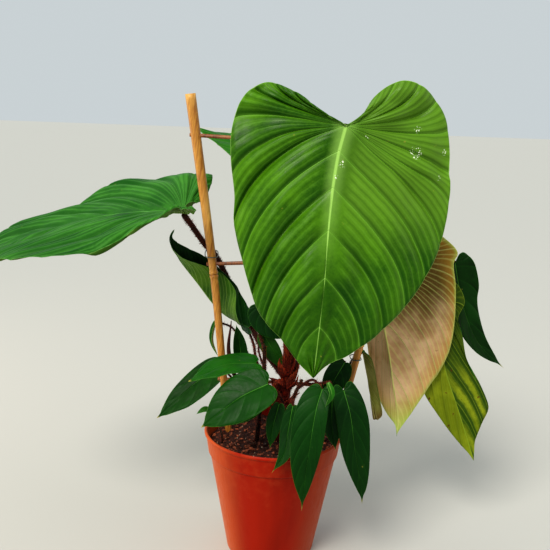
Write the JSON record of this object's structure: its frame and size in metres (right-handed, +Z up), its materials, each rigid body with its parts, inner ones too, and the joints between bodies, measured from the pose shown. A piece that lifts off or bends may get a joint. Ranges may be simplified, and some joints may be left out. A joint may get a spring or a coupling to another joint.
{
  "type": "potted climbing aroid",
  "caption": "Climbing philodendron with velvety heart-shaped leaves and fuzzy red petioles, tied to a bamboo ladder in a round plastic nursery pot.",
  "frame": {"origin": "the middle of the pot's underside, on the plane that the foot ring and the floor's middle pad stand on", "axes": "+Z up along the pot's axis, -Y toward the side that the large front leaf faces, +X to the right seen from that side"},
  "size_m": [0.6853, 0.235, 0.574],
  "materials": {
    "pot": "satin",
    "soil": "matte",
    "bamboo": "satin",
    "rung": "satin",
    "tie": "satin",
    "stem": "matte",
    "leaf": "satin",
    "dark_leaf": "satin",
    "pale_underside": "matte"
  },
  "bodies": {
    "root": {"pot": "pot", "soil": "soil", "stake_left": "bamboo", "stake_right": "bamboo", "rung_top": "rung", "rung_middle": "rung", "rung_low": "rung", "tie_left": "tie", "tie_right": "tie", "vine_main": "stem", "vine_left": "stem", "vine_front": "stem", "vine_right": "stem", "vine_rim": "stem", "leaf_front": "leaf", "leaf_left": "leaf", "leaf_behind": "leaf", "leaf_low_left": "leaf", "leaf_upper_left": "leaf", "leaf_under_broad": "leaf", "leaf_rim_left": "leaf", "leaf_folded": "dark_leaf", "leaf_far_right": "dark_leaf", "leaf_broad_left": "dark_leaf", "leaf_hanging_dark": "dark_leaf", "leaf_front_small": "dark_leaf", "leaf_front_hanging": "dark_leaf", "leaf_shaded": "dark_leaf", "leaf_right_hanging": "dark_leaf", "leaf_under_tip": "dark_leaf", "leaf_dark_middle": "dark_leaf", "leaf_two_toned": "dark_leaf", "leaf_upright_dark": "dark_leaf", "leaf_tan": "pale_underside", "leaf_striped": "pale_underside", "leaf_edge_on": "pale_underside", "leaf_curl": "pale_underside", "leaf_curled_left": "pale_underside"}
  },
  "joints": []
}
